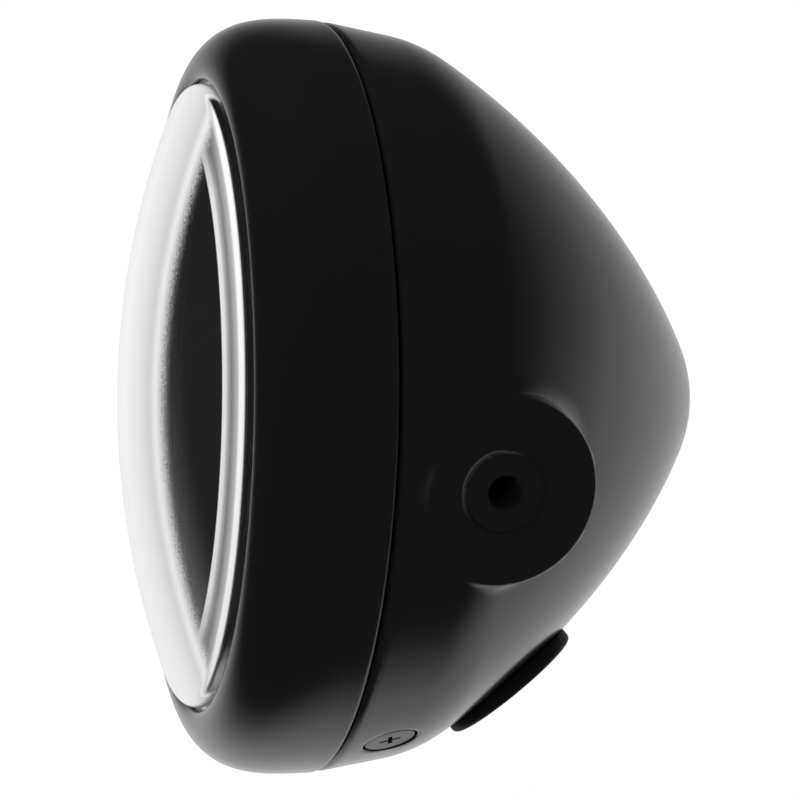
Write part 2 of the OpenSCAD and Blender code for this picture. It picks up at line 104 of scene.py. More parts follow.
def newMaterial(name, shader):
    material = bpy.data.materials.new(name)
    material.use_nodes = True
    tree = material.node_tree
    tree.nodes.clear()
    surface = addNode(tree, "ShaderNodeBsdfPrincipled", shader)
    addNode(tree, "ShaderNodeOutputMaterial", None, {"Surface": surface.outputs[0]})
    place = addNode(tree, "ShaderNodeTexCoord").outputs["Object"]
    return material, tree, surface, place


# Gives a ramp its stops of position and level
def setStops(ramp, stops):
    elements = ramp.color_ramp.elements
    elements[0].position = stops[0][0]
    elements[1].position = stops[-1][0]
    for position, _ in stops[1:-1]:
        elements.new(position)
    for element, (_, level) in zip(elements, stops):
        element.color = grey(level)


# Bump from noise, with the grain and its depth in millimetres
def grainBump(tree, surface, place, grain, depth, strength, detail=2.0):
    noise = addNode(tree, "ShaderNodeTexNoise", {"Scale": 1 / (grain * mm), "Detail": detail},
                    {"Vector": place})
    bump = addNode(tree, "ShaderNodeBump", {"Strength": strength, "Distance": depth * mm},
                   {"Height": noise.outputs[0]})
    tree.links.new(bump.outputs[0], surface.inputs["Normal"])
    return noise


def grainedMaterial(name, shader, **bump):
    material, tree, surface, place = newMaterial(name, shader)
    grainBump(tree, surface, place, **bump)
    return material


# Stove enamel on pressed steel: near black, smooth and glossy, with a faint orange peel
enamel = grainedMaterial("blackStoveEnamel", {
    "Base Color": linear("#141414"), "Roughness": 0.17, "IOR": 1.5},
    grain=1.6, depth=0.006, strength=0.1)

# Moulded rubber: matt black with a fine grain from the mould
rubber = grainedMaterial("mouldedRubber", {
    "Base Color": linear("#0e0e0e"), "Roughness": 0.62, "IOR": 1.5},
    grain=0.7, depth=0.03, strength=0.3)

# Pressed clear glass: polished in the middle, with frosted bands along its rim whose graded whiteness
# paints the rim's bright highlight. At a flat angle the glass closes to a painted milky white
# reflection, with a speckled edge
glassLook = {
    "closesFrom": 0.65, "closesTo": 0.69,
    "paintedReflection": [(0.6, 1.0), (0.66, 0.65), (0.68, 0.7), (0.7, 0.92), (0.725, 0.7), (0.77, 0.8),
             (0.85, 0.92), (0.95, 1.0)],
    "speckle": 0.4, "speckleDetail": 3.0, "speckleWidth": 0.06,
    "bandFrom": 61.0, "bandTo": 71.0,
    "bands": [(0.06, 0.0), (0.1, 0.9), (0.22, 0.75), (0.3, 0.4), (0.42, 0.22), (0.54, 0.4),
              (0.64, 0.55), (0.69, 1.0), (0.8, 1.0), (0.83, 0.0)],
}
glass, tree, surface, place = newMaterial("pressedClearGlass", {
    "Base Color": linear("#ffffff"), "Roughness": 0.0, "IOR": 1.5, "Transmission Weight": 1.0})
grainBump(tree, surface, place, grain=14.0, depth=0.05, strength=0.08, detail=1.0)
facing = addNode(tree, "ShaderNodeLayerWeight", {"Blend": 0.5}).outputs["Facing"]
speckle = addNode(tree, "ShaderNodeTexNoise", {
    "Scale": 1 / (glassLook["speckle"] * mm), "Detail": glassLook["speckleDetail"]}, {"Vector": place})
rough = addNode(tree, "ShaderNodeMath", {
    "operation": "MULTIPLY_ADD", 1: glassLook["speckleWidth"], 2: -glassLook["speckleWidth"] / 2},
    {0: speckle.outputs[0]})
angle = addNode(tree, "ShaderNodeMath", {"operation": "ADD"}, {0: facing, 1: rough.outputs[0]})
# Painted reflection: past this facing angle the glass turns milky white, with a speckled edge
paintedReflection = addNode(tree, "ShaderNodeMapRange", {
    "interpolation_type": "SMOOTHSTEP", "From Min": glassLook["closesFrom"],
    "From Max": glassLook["closesTo"]}, {"Value": angle.outputs[0]})
flatPlace = addNode(tree, "ShaderNodeVectorMath", {"operation": "MULTIPLY", 1: (1, 0, 1)}, {0: place})
radius = addNode(tree, "ShaderNodeVectorMath", {"operation": "LENGTH"}, {0: flatPlace.outputs[0]})
across = addNode(tree, "ShaderNodeMapRange", {
    "From Min": glassLook["bandFrom"] * mm, "From Max": glassLook["bandTo"] * mm},
    {"Value": radius.outputs["Value"]})
# Frosted bands along the rim, graded to paint the rim's bright highlight
frostAndRimHighlight = addNode(tree, "ShaderNodeValToRGB", None, {0: across.outputs[0]})
setStops(frostAndRimHighlight, glassLook["bands"])
closed = addNode(tree, "ShaderNodeMath", {"operation": "MAXIMUM"},
                 {0: paintedReflection.outputs[0], 1: frostAndRimHighlight.outputs[0]})
clarity = addNode(tree, "ShaderNodeMath", {"operation": "SUBTRACT", 0: 1.0}, {1: closed.outputs[0]})
tree.links.new(clarity.outputs[0], surface.inputs["Transmission Weight"])
# Base colour from the facing angle: the grey to white tones of the painted reflection
tone = addNode(tree, "ShaderNodeValToRGB", None, {0: facing})
setStops(tone, glassLook["paintedReflection"])
tree.links.new(tone.outputs[0], surface.inputs["Base Color"])

# Vacuum metallised reflector: bright aluminium on smooth lacquer, which is a little hazier in some of
# its facets than in others
mirrorLook = {
    "facetWidth": 11.0, "facetHeight": 22.0, "joint": 0.2, "hazy": 0.7, "bright": 0.93, "atJoints": 0.6,
}
mirror, tree, surface, place = newMaterial("metallisedMirror", {
    "Base Color": linear("#e4e5e6"), "Metallic": 0.94, "Roughness": 0.06})
grainBump(tree, surface, place, grain=5.0, depth=0.02, strength=0.1)
spread = addNode(tree, "ShaderNodeSeparateXYZ", None, {0: place})
swapped = addNode(tree, "ShaderNodeCombineXYZ", None, {0: spread.outputs["Z"], 1: spread.outputs["X"]})
facets = addNode(tree, "ShaderNodeTexBrick", {
    "Color1": grey(mirrorLook["hazy"]), "Color2": grey(mirrorLook["bright"]),
    "Mortar": grey(mirrorLook["atJoints"]), "Mortar Size": mirrorLook["joint"] * mm, "Scale": 1.0,
    "Brick Width": mirrorLook["facetHeight"] * mm, "Row Height": mirrorLook["facetWidth"] * mm},
    {"Vector": swapped.outputs[0]})
tree.links.new(facets.outputs[0], surface.inputs["Metallic"])

# Zinc plated steel: pale grey with soft patches from the bath
zinc, tree, surface, place = newMaterial("zincPlatedSteel", {
    "Base Color": linear("#b4b6b4"), "Metallic": 1.0, "Roughness": 0.34})
noise = grainBump(tree, surface, place, grain=2.5, depth=0.02, strength=0.2)
tone = addNode(tree, "ShaderNodeMix", {"data_type": "RGBA", 6: linear("#a2a5a4"), 7: linear("#c6c7c2")},
               {0: noise.outputs[0]})
tree.links.new(tone.outputs[2], surface.inputs["Base Color"])

# Spring steel: darker and smoother than the zinc
springSteel = grainedMaterial("springSteel", {
    "Base Color": linear("#8f9194"), "Metallic": 1.0, "Roughness": 0.28},
    grain=1.2, depth=0.01, strength=0.2)

# Blackened screw steel, slightly rougher than the enamel round it
blackSteel = grainedMaterial("blackenedSteel", {
    "Base Color": linear("#1a1a1a"), "Roughness": 0.3, "IOR": 1.5},
    grain=0.8, depth=0.01, strength=0.25)

# Brass contact blades, a little tarnished
brass = grainedMaterial("contactBrass", {
    "Base Color": linear("#c2a566"), "Metallic": 1.0, "Roughness": 0.3},
    grain=1.5, depth=0.01, strength=0.2)

# Moulded plastic, black with a light mould texture
plastic = grainedMaterial("mouldedPlastic", {
    "Base Color": linear("#151515"), "Roughness": 0.45, "IOR": 1.46},
    grain=0.5, depth=0.02, strength=0.25)

# Butyl sealing bead, dull dark grey
butyl = grainedMaterial("butylSealant", {
    "Base Color": linear("#262626"), "Roughness": 0.7, "IOR": 1.5},
    grain=1.5, depth=0.1, strength=0.4)

# Thin quartz glass of the bulbs
quartz = grainedMaterial("bulbQuartz", {
    "Base Color": linear("#ffffff"), "Roughness": 0.0, "IOR": 1.46, "Transmission Weight": 1.0},
    grain=3.0, depth=0.01, strength=0.1)
print("materials made")


# Meshes
def sectionMesh(points, steps, closed):
    bm = bmesh.new()
    verts = [bm.verts.new((p.x * mm, p.y * mm, 0.0)) for p in points]
    edges = [bm.edges.new(pair) for pair in zip(verts, verts[1:])]
    if closed:
        edges.append(bm.edges.new((verts[-1], verts[0])))
    bmesh.ops.spin(bm, geom=verts + edges, axis=(0, 1, 0), cent=(0, 0, 0), dvec=(0, 0, 0), angle=math.tau,
                   steps=steps, use_merge=True, use_duplicate=False)
    bmesh.ops.remove_doubles(bm, verts=bm.verts[:], dist=0.01 * mm)
    return bm


# Turns a mesh the right way out, by the face nearest to a sample point
def pointOutwards(bm, sample, outward):
    bmesh.ops.recalc_face_normals(bm, faces=bm.faces[:])
    bm.faces.ensure_lookup_table()
    face = min(bm.faces, key=lambda f: (f.calc_center_median() - sample * mm).length)
    if face.normal.dot(outward) < 0:
        bmesh.ops.reverse_faces(bm, faces=bm.faces[:])


def sharpenEdges(bm, limit=35.0):
    for edge in bm.edges:
        if len(edge.link_faces) == 2 and edge.calc_face_angle() > math.radians(limit):
            edge.smooth = False


def finishPiece(bm, name, material, replaced):
    for face in bm.faces:
        face.smooth = True
    mesh = bpy.data.meshes.new(name)
    bm.to_mesh(mesh)
    bm.free()
    mesh.materials.append(material)
    piece = bpy.data.objects.new(name, mesh)
    bpy.context.scene.collection.objects.link(piece)
    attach(piece, "root")
    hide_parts(*replaced)
    return piece


def thicken(piece, sheet):
    solid = piece.modifiers.new("sheetThickness", "SOLIDIFY")
    solid.thickness = sheet * mm
    solid.offset = -1


# Frame on the lamp's surface: X across, Y along the surface to the rear, Z out of it. The clock is in
# degrees from the top
def localPlace(clock, slope, radius, y):
    outward = Vector((math.sin(math.radians(clock)), 0, math.cos(math.radians(clock))))
    back = Vector((0, 1, 0))
    normal = outward * math.cos(math.radians(slope)) + back * math.sin(math.radians(slope))
    rear = back * math.cos(math.radians(slope)) - outward * math.sin(math.radians(slope))
    across = rear.cross(normal)
    place = Matrix((across, rear, normal)).transposed().to_4x4()
    place.translation = outward * radius + back * y
    return place


def moveTo(bm, place):
    bm.transform(Matrix.Translation(place.translation * mm) @ place.to_3x3().to_4x4())


# Shell
shell = {
    "rimTaper": 8.4, "rimStraight": 15.0, "shoulderRadius": 31.1, "flankStart": 30.3, "flankRadius": 183.0,
    "tipStart": 58.0, "edgeRound": 1.4, "spigotRadius": 83.2, "spigotLength": 9.0, "sheet": 1.5,
    "edgeSteps": 6, "straightSteps": 10, "shoulderSteps": 12, "flankSteps": 44, "tipSteps": 16,
    "searchLow": -12.0, "searchHigh": 8.0,
}
boss = {
    "back": 23.1, "drop": 0.9, "reach": 80.5, "radius": 19.4, "round": 1.3, "hole": 8.03,
    "fillet": 3.4, "faceBlend": 0.7, "rootWidth": 3.0, "rootLow": 0.3, "rootHigh": 4.0,
    "dishRadius": 8.3, "dishSlope": 0.25, "dishFades": 14.5, "dishEnds": 20.8,
    "footRadius": 20.2, "faceRadius": 16.4, "fanRadius": 14.9, "fanDepth": 17.0,
    "outerRings": 8, "fanRings": 18, "faceRings": 5,
    "halfTurn": 21.3, "ahead": 21.5, "behind": 28.0,
    "searchLow": -30.0, "searchHigh": 8.0, "searchRay": 40.0,
}
taper = shell["rimTaper"]
rim = Vector((lamp["shellRadius"], seamY))
straightEnd = rim + shell["rimStraight"] * along(taper)
shoulderCentre = straightEnd - shell["shoulderRadius"] * out(taper)
flankFrom = shoulderCentre + shell["shoulderRadius"] * out(shell["flankStart"])
flankCentre = flankFrom - shell["flankRadius"] * out(shell["flankStart"])
flankEnd = flankCentre + shell["flankRadius"] * out(shell["tipStart"])
tipRadius = flankEnd.x / math.cos(math.radians(shell["tipStart"]))
tipCentre = Vector((0, flankEnd.y - tipRadius * math.sin(math.radians(shell["tipStart"]))))
bossY = seamY + boss["back"]


def shellRadiusAt(y):
    if y < straightEnd.y:
        return rim.x - (y - rim.y) * math.tan(math.radians(taper))
    arcs = ((shoulderCentre, shell["shoulderRadius"], flankFrom.y),
            (flankCentre, shell["flankRadius"], flankEnd.y))
    for centre, radius, end in arcs:
        if y < end:
            return centre.x + math.sqrt(radius ** 2 - (y - centre.y) ** 2)
    return math.sqrt(max(tipRadius ** 2 - (y - tipCentre.y) ** 2, 0.0))


# Height of a point over the revolved shell, along its normal
def shellDistance(point):
    step = 0.2
    rise = (shellRadiusAt(point.y + step) - shellRadiusAt(point.y - step)) / (2 * step)
    return (math.hypot(point.x, point.z) - shellRadiusAt(point.y)) / math.hypot(1, rise)


def bossPlace(side):
    return Matrix.Translation((0, 0, -boss["drop"])) @ localPlace(side * 90, 0, boss["reach"], bossY)


# Height of a point over the shell with its bosses, whose root runs out into the shell in a fillet.
# Round the insert the front of the boss is dished, where the shell would stand over its face, and the
# dish fades out towards the rim
def bossedDistance(point):
    radius = math.hypot(point.y - bossY, point.z + boss["drop"])
    side = radius - (boss["radius"] - boss["round"])
    top = abs(point.x) - (boss["reach"] - boss["round"])
    bossOut = math.hypot(max(side, 0), max(top, 0)) + min(max(side, top), 0) - boss["round"]
    shellOut = shellDistance(point)
    shellReach = math.sqrt(max(shellRadiusAt(point.y) ** 2 - point.z ** 2, 0.0))
    rooted = ease(boss["radius"] - boss["rootWidth"], boss["radius"], radius)
    rooted *= ease(boss["rootLow"], boss["rootHigh"], boss["reach"] - shellReach)
    width = mix(boss["faceBlend"], boss["fillet"], rooted)
    shared = max(width - abs(bossOut - shellOut), 0) / width
    joined = min(bossOut, shellOut) - shared * shared * width / 4
    dish = abs(point.x) - boss["reach"] - boss["dishSlope"] * max(radius - boss["dishRadius"], 0)
    cut = max(dish / math.hypot(1, boss["dishSlope"]) - joined, 0)
    return joined + cut * (1 - ease(boss["dishFades"], boss["dishEnds"], radius))


# How far from start a ray leaves the surface, in a place's own frame
def meet(distance, place, start, direction, low, high):
    halvings = 24
    for _ in range(halvings):
        middle = (low + high) / 2
        if distance(place @ (start + direction * middle)) < 0:
            low = middle
        else:
            high = middle
    return low


# Takes the faces of a region out and grows rings inwards from its edge
def growRings(bm, place, region, ringPoint, count):
    turn = bm.verts.layers.float["turn"]
    start = bm.verts.layers.float["start"]
    faces = set(f for f in bm.faces if region(f.calc_center_median() / mm))
    loop = list({e for f in faces for e in f.edges if len(set(e.link_faces) & faces) == 1})
    bmesh.ops.delete(bm, geom=list(faces), context="FACES")
    inverse = place.inverted()
    for vert in {v for e in loop for v in e.verts}:
        local = inverse @ (vert.co / mm)
        vert[turn] = math.atan2(local.y, local.x)
        vert[start] = math.hypot(local.x, local.y)
    for step in range(1, count + 1):
        grown = bmesh.ops.extrude_edge_only(bm, edges=loop)["geom"]
        newVerts = {g for g in grown if isinstance(g, bmesh.types.BMVert)}
        loop = [g for g in grown if isinstance(g, bmesh.types.BMEdge) and set(g.verts) <= newVerts]
        for vert in newVerts:
            vert.co = place @ ringPoint(step, vert[turn], vert[start]) * mm


# The layers that keep each vertex's turn and first radius while rings grow
def addRingLayers(bm):
    for name in ("turn", "start"):
        bm.verts.layers.float.new(name)


# Test for the rows and columns of faces round a place
def nearPlace(clock, halfTurn, lowY, highY):
    def inside(centre):
        angle = math.degrees(math.atan2(centre.x, centre.z)) - clock
        angle = (angle + 180) % 360 - 180
        return abs(angle) < halfTurn and lowY < centre.y < highY
    return inside


# Rings over a boss: in to its foot, in a fan round its edge, and over its face to the hole
def bossPoint(place, step, turn, start):
    across = Vector((math.cos(turn), math.sin(turn), 0))

    def height(radius):
        return meet(bossedDistance, place, across * radius, up, boss["searchLow"], boss["searchHigh"])

    if step <= boss["outerRings"]:
        radius = mix(start, boss["footRadius"], step / boss["outerRings"])
        return across * radius + up * height(radius)
    step -= boss["outerRings"]
    if step <= boss["fanRings"]:
        centre = across * boss["fanRadius"] - up * boss["fanDepth"]
        angles = [math.atan2(r - boss["fanRadius"], height(r) + boss["fanDepth"])
                  for r in (boss["footRadius"], boss["faceRadius"])]
        angle = mix(angles[0], angles[1], step / boss["fanRings"])
        ray = across * math.sin(angle) + up * math.cos(angle)
        return centre + ray * meet(bossedDistance, place, centre, ray, 0, boss["searchRay"])
    step -= boss["fanRings"]
    radius = mix(boss["faceRadius"], boss["hole"], step / boss["faceRings"])
    return across * radius + up * height(radius)


screwHole = {
    "back": 10.9, "clock": 41.4, "surfaceRings": 4, "ringRadius": 6.4,
    "section": [(6.2, -0.06), (6.06, -0.2), (6.0, -0.45), (5.98, -1.0), (5.9, -1.6)],
    "halfTurn": 6.3, "ahead": 8.6, "behind": 9.0,
}
screwY = seamY + screwHole["back"]
grommet = {
    "clock": 153.0, "slope": 37.5, "radius": 17.0, "height": 2.8, "edge": 1.9, "round": 1.0, "hole": 12.0,
    "gap": 0.15, "lipRadius": 15.0, "lipRound": 0.6, "depth": 6.5, "steps": 96, "roundSteps": 6,
    "bowSteps": 16, "halfTurn": 14.5, "reach": 13.5, "sunkFrom": 11.0, "overLip": 0.1,
    "overShell": 0.5,
}
grommetHole = {"ringRadius": grommet["hole"], "surfaceRings": 5, "section": []}
grommetPoint = flankCentre + shell["flankRadius"] * out(grommet["slope"])
grommetPlace = localPlace(grommet["clock"], grommet["slope"], grommetPoint.x, grommetPoint.y)


def screwPlace(side):
    return localPlace(180 - side * screwHole["clock"], taper, shellRadiusAt(screwY), screwY)


# Height of the revolved shell in a place's own frame
def shellHeight(place, across):
    return meet(shellDistance, place, across, up, shell["searchLow"], shell["searchHigh"])


# Rings that close in on a round hole and then turn down into it
def sunkPoint(place, hole, step, turn, start):
    across = Vector((math.cos(turn), math.sin(turn), 0))
    rings = hole["surfaceRings"]
    surfaceRadius = mix(start, hole["ringRadius"], min(step / rings, 1))
    radius, drop = surfaceRadius, 0.0
    if step > rings:
        radius, drop = hole["section"][step - rings - 1]
    return across * radius + up * (shellHeight(place, across * surfaceRadius) + drop)


edgeRound = shell["edgeRound"]
edgeIn = edgeRound * (1 + math.sin(math.radians(taper))) / math.cos(math.radians(taper))
edgeCentre = Vector((rim.x - edgeIn, rim.y + edgeRound))
straightFrom = edgeCentre + edgeRound * out(taper)
shellSection = [Vector((shell["spigotRadius"], rim.y - shell["spigotLength"])),
                Vector((shell["spigotRadius"], rim.y))]
shellSection += arc(edgeCentre, edgeRound, -90, taper, shell["edgeSteps"])
shellSection += [straightFrom.lerp(straightEnd, i / shell["straightSteps"])
                 for i in range(1, shell["straightSteps"] + 1)]
shellSection += arc(shoulderCentre, shell["shoulderRadius"], taper, shell["flankStart"],
                    shell["shoulderSteps"])[1:]
shellSection += arc(flankCentre, shell["flankRadius"], shell["flankStart"], shell["tipStart"],
                    shell["flankSteps"])[1:]
shellSection += arc(tipCentre, tipRadius, shell["tipStart"], 90, shell["tipSteps"])[1:]
bm = sectionMesh(shellSection, lamp["turnSteps"], False)
addRingLayers(bm)
for side in (-1, 1):
    place = bossPlace(side)
    region = nearPlace(side * 90, boss["halfTurn"], bossY - boss["ahead"], bossY + boss["behind"])
    growRings(bm, place, region, lambda *ring: bossPoint(place, *ring),
              boss["outerRings"] + boss["fanRings"] + boss["faceRings"])
    place = screwPlace(side)
    region = nearPlace(180 - side * screwHole["clock"], screwHole["halfTurn"],
                       screwY - screwHole["ahead"], screwY + screwHole["behind"])
    growRings(bm, place, region, lambda *ring: sunkPoint(place, screwHole, *ring),
              screwHole["surfaceRings"] + len(screwHole["section"]))
region = nearPlace(grommet["clock"], grommet["halfTurn"],
                   grommetPoint.y - grommet["reach"], grommetPoint.y + grommet["reach"])
growRings(bm, grommetPlace, region, lambda *ring: sunkPoint(grommetPlace, grommetHole, *ring),
          grommetHole["surfaceRings"])
pointOutwards(bm, Vector((0, 0, lamp["shellRadius"])), up)
shellPiece = finishPiece(bm, "shellBody", enamel, ["headlight_shell"])
thicken(shellPiece, shell["sheet"])
print("shell made")

# Trim ring: its front edge is rolled into a bead round the glass
ring = {
    "wall": 1.2, "rearRound": 1.15, "rearStraight": 1.2, "rearTo": 10.0, "rearSteps": 4,
    "longPower": 3.4, "shortPower": 1.8, "steps": 56, "firstSteps": 1.7,
    "beadIn": 1.8, "beadBack": 2.0, "beadSteps": 14, "beadMeets": 73.6, "sampleBack": 20.0,
}
rearY = seamY - lamp["seamGap"]


# The oval corner from the widest radius to the crest, inset into the sheet
def ringCorner(inset):
    depth = rearY - ring["rearStraight"] - ringFrontY - inset
    width = lamp["ringRadius"] - lamp["crestRadius"] - inset
    points = []
    for i in range(ring["steps"] + 1):
        t = math.pi / 2 * (i / ring["steps"]) ** ring["firstSteps"]
        points.append(Vector((
            lamp["crestRadius"] + width * max(math.cos(t), 0) ** (2 / ring["shortPower"]),
            ringFrontY + inset + depth * (1 - math.sin(t) ** (2 / ring["longPower"])))))
    return points


rearCentre = Vector((lamp["ringRadius"] - ring["rearRound"], rearY - ring["rearRound"]))
beadTurns = [math.pi * i / ring["beadSteps"] for i in range(1, ring["beadSteps"] + 1)]
ringSection = [Vector((lamp["ringRadius"] - ring["wall"], rearY))]
ringSection += arc(rearCentre, ring["rearRound"], 90, ring["rearTo"], ring["rearSteps"])
ringSection += ringCorner(0)
ringSection += [Vector((lamp["crestRadius"] - ring["beadIn"] * math.sin(t),
                        ringFrontY + ring["beadBack"] * (1 - math.cos(t)) / 2)) for t in beadTurns]
ringSection += [p for p in reversed(ringCorner(ring["wall"])) if p.x > ring["beadMeets"]]
bm = sectionMesh(ringSection, lamp["turnSteps"], True)
pointOutwards(bm, Vector((0, ringFrontY + ring["sampleBack"], lamp["ringRadius"])), up)
finishPiece(bm, "trimRing", enamel, ["trim_ring"])
print("trim ring made")

# Lens: a dome with a rounded edge, a side wall down to its flange, and a hollow behind
lens = {
    "radius": 70.5, "dome": 13.2, "stand": 0.9, "wall": 3.5, "sideRadius": 69.8, "edgeRound": 2.6,
    "flangeRadius": 75.0, "flange": 3.5, "gasket": 1.0, "innerRadius": 67.0, "innerRound": 11.0,
    "steps": 288, "domeSteps": 40, "edgeSteps": 10, "roundSteps": 16,
}
flangeY = ringFrontY + ring["wall"] + lens["gasket"]
edgeY = ringFrontY - lens["stand"]
domeRadius = (lens["radius"] ** 2 + lens["dome"] ** 2) / (2 * lens["dome"])
domeCentre = Vector((0, edgeY - lens["dome"] + domeRadius))
edgeDistance = domeRadius - lens["edgeRound"]
edgeTurn = math.degrees(math.asin((lens["sideRadius"] - lens["edgeRound"]) / edgeDistance))
edgeCentre = domeCentre + edgeDistance * out(edgeTurn - 90)
innerDome = domeRadius - lens["wall"]
roundDistance = innerDome - lens["innerRound"]
roundTurn = math.degrees(math.asin((lens["innerRadius"] - lens["innerRound"]) / roundDistance))
roundCentre = domeCentre + roundDistance * out(roundTurn - 90)
roundEnd = math.degrees(math.asin((flangeY + lens["flange"] - roundCentre.y) / lens["innerRound"]))
lensSection = arc(domeCentre, domeRadius, -90, edgeTurn - 90, lens["domeSteps"])
lensSection += arc(edgeCentre, lens["edgeRound"], edgeTurn - 90, 0, lens["edgeSteps"])[1:]
lensSection += [Vector((lens["sideRadius"], flangeY)), Vector((lens["flangeRadius"], flangeY)),
                Vector((lens["flangeRadius"], flangeY + lens["flange"]))]
lensSection += arc(roundCentre, lens["innerRound"], roundEnd, roundTurn - 90, lens["roundSteps"])
lensSection += arc(domeCentre, innerDome, roundTurn - 90, -90, lens["domeSteps"])[1:]
bm = sectionMesh(lensSection, lens["steps"], False)
pointOutwards(bm, Vector((0, lensSection[0].y, 0)), Vector((0, -1, 0)))
sharpenEdges(bm)
finishPiece(bm, "lensGlass", glass, ["headlight_lens"])
print("lens made")

# Reflector: a paraboloid cut into strips, each of them a column of cushioned facets
bowl = {
    "rimRadius": 66.0, "flangeRadius": 75.0, "neckRadius": 19.0, "neckLength": 5.0, "focal": 23.0,
    "sheet": 1.4, "sealant": 0.6, "steps": 180, "rows": 44, "snap": 0.02, "onCut": 0.001, "margin": 0.1,
    "bulge": 0.3, "uneven": 0.35, "columnPhase": 2.3, "rowPhase": 1.7, "endRise": 8.0,
}
parkingTube = {
    "down": 38.0, "hole": 7.0, "outside": 8.4, "back": 2.9, "rings": 5, "halfTurn": 14.5, "clear": 9.5,
}
facetWidth = mirrorLook["facetWidth"]
facetHeight = mirrorLook["facetHeight"]
bowlY = flangeY + lens["flange"] + bowl["sealant"]
vertexY = bowlY + bowl["rimRadius"] ** 2 / (4 * bowl["focal"])


def bowlPointAt(radius):
    return Vector((radius, vertexY - radius ** 2 / (4 * bowl["focal"])))


# Cushion of one rectangular facet of the mirror, with the rows staggered from strip to strip
def facetBulge(x, z):
    column = math.floor(x / facetWidth + 0.5)
    across = x / facetWidth + 0.5 - column
    shifted = z / facetHeight + 0.5 * (column % 2)
    row = math.floor(shifted)
    upward = shifted - row
    wave = math.sin(column * bowl["columnPhase"] + row * bowl["rowPhase"])
    depth = bowl["bulge"] * (1 + bowl["uneven"] * wave)
    return depth * 4 * across * (1 - across) * min(1, bowl["endRise"] * upward * (1 - upward))


# Rings round the parking light's hole, the last of them at the rear end of its tube
def parkingPoint(step, turn, start):
    radius = mix(start, parkingTube["hole"], min(step / parkingTube["rings"], 1))
    x = radius * math.cos(turn)
    z = radius * math.sin(turn)
    y = bowlPointAt(math.hypot(x, z - parkingTube["down"])).y
    y -= facetBulge(x, z - parkingTube["down"]) * ease(parkingTube["hole"], parkingTube["clear"], radius)
    if step > parkingTube["rings"]:
        y = bowlPointAt(parkingTube["down"] - parkingTube["outside"]).y + parkingTube["back"]
    return Vector((x, z, -y))


bowlSection = [Vector((bowl["flangeRadius"], bowlY))]
bowlSection += [bowlPointAt(mix(bowl["rimRadius"], bowl["neckRadius"], i / bowl["rows"]))
                for i in range(bowl["rows"] + 1)]
bowlSection += [bowlPointAt(bowl["neckRadius"]) + Vector((0, bowl["neckLength"]))]
bm = sectionMesh(bowlSection, bowl["steps"], False)
columns = int(bowl["rimRadius"] / facetWidth) + 1
for i in range(-columns, columns):
    bmesh.ops.bisect_plane(bm, geom=bm.verts[:] + bm.edges[:] + bm.faces[:], dist=bowl["snap"] * mm,
                           plane_co=Vector(((i + 0.5) * facetWidth, 0, 0)) * mm, plane_no=(1, 0, 0))
for edge in bm.edges:
    ends = [v.co.x / mm / facetWidth + 0.5 for v in edge.verts]
    straight = abs(ends[0] - ends[1]) < bowl["onCut"]
    edge.smooth = not (straight and abs(ends[0] - round(ends[0])) < bowl["onCut"])
for vert in bm.verts:
    radius = math.hypot(vert.co.x, vert.co.z) / mm
    if bowl["neckRadius"] + bowl["margin"] < radius < bowl["rimRadius"] - bowl["margin"]:
        vert.co.y -= facetBulge(vert.co.x / mm, vert.co.z / mm) * mm
addRingLayers(bm)
place = Matrix.Translation((0, 0, -parkingTube["down"])) @ quarterTurn
holeFront = bowlPointAt(parkingTube["down"] + parkingTube["clear"]).y
holeBack = bowlPointAt(parkingTube["down"] - parkingTube["clear"]).y
growRings(bm, place, nearPlace(180, parkingTube["halfTurn"], holeFront, holeBack), parkingPoint,
          parkingTube["rings"] + 1)
midway = (bowl["rimRadius"] + bowl["neckRadius"]) / 2
pointOutwards(bm, Vector((0, bowlPointAt(midway).y, midway)), Vector((0, -1, 0)))
reflectorPiece = finishPiece(bm, "facetedReflector", mirror, ["reflector"])
thicken(reflectorPiece, bowl["sheet"])
print("reflector made")


# Cable grommet: its head and its inner lip lie against the shell
def sunkToShell(bm, place, lowest, highest):
    for vert in bm.verts:
        local = vert.co / mm
        if math.hypot(local.x, local.y) > grommet["sunkFrom"] and lowest < local.z < highest:
            vert.co.z += shellHeight(place, Vector((local.x, local.y, 0))) * mm


bowHeight = grommet["height"] - grommet["edge"]
bow = (grommet["radius"] ** 2 + bowHeight ** 2) / (2 * bowHeight)
bowTurn = math.degrees(math.asin((grommet["radius"] - grommet["round"]) / (bow - grommet["round"])))
bowEdge = 90 - bowTurn
bowCentre = Vector((0, grommet["height"] - bow))
headCentre = bowCentre + (bow - grommet["round"]) * out(bowEdge)
core = grommet["hole"] - grommet["gap"]
lipTop = -shell["sheet"] - grommet["gap"]
headSection = [Vector((0, -grommet["depth"])),
               Vector((grommet["lipRadius"] - grommet["lipRound"], -grommet["depth"])),
               Vector((grommet["lipRadius"], grommet["lipRound"] - grommet["depth"])),
               Vector((grommet["lipRadius"], lipTop)),
               Vector((core, lipTop)),
               Vector((core, grommet["gap"])),
               Vector((grommet["radius"] - grommet["gap"], grommet["gap"])),
               Vector((grommet["radius"], 2 * grommet["gap"]))]
headSection += arc(headCentre, grommet["round"], 0, bowEdge, grommet["roundSteps"])
headSection += arc(bowCentre, bow, bowEdge, 90, grommet["bowSteps"])[1:]
bm = sectionMesh(headSection, grommet["steps"], False)
bm.transform(quarterTurn)
sunkToShell(bm, grommetPlace, lipTop - grommet["overLip"], grommet["overShell"])
moveTo(bm, grommetPlace)
pointOutwards(bm, grommetPlace @ (up * grommet["height"]), grommetPlace.to_3x3() @ up)
finishPiece(bm, "cableGrommet", rubber, ["cable_grommet"])
print("grommet made")

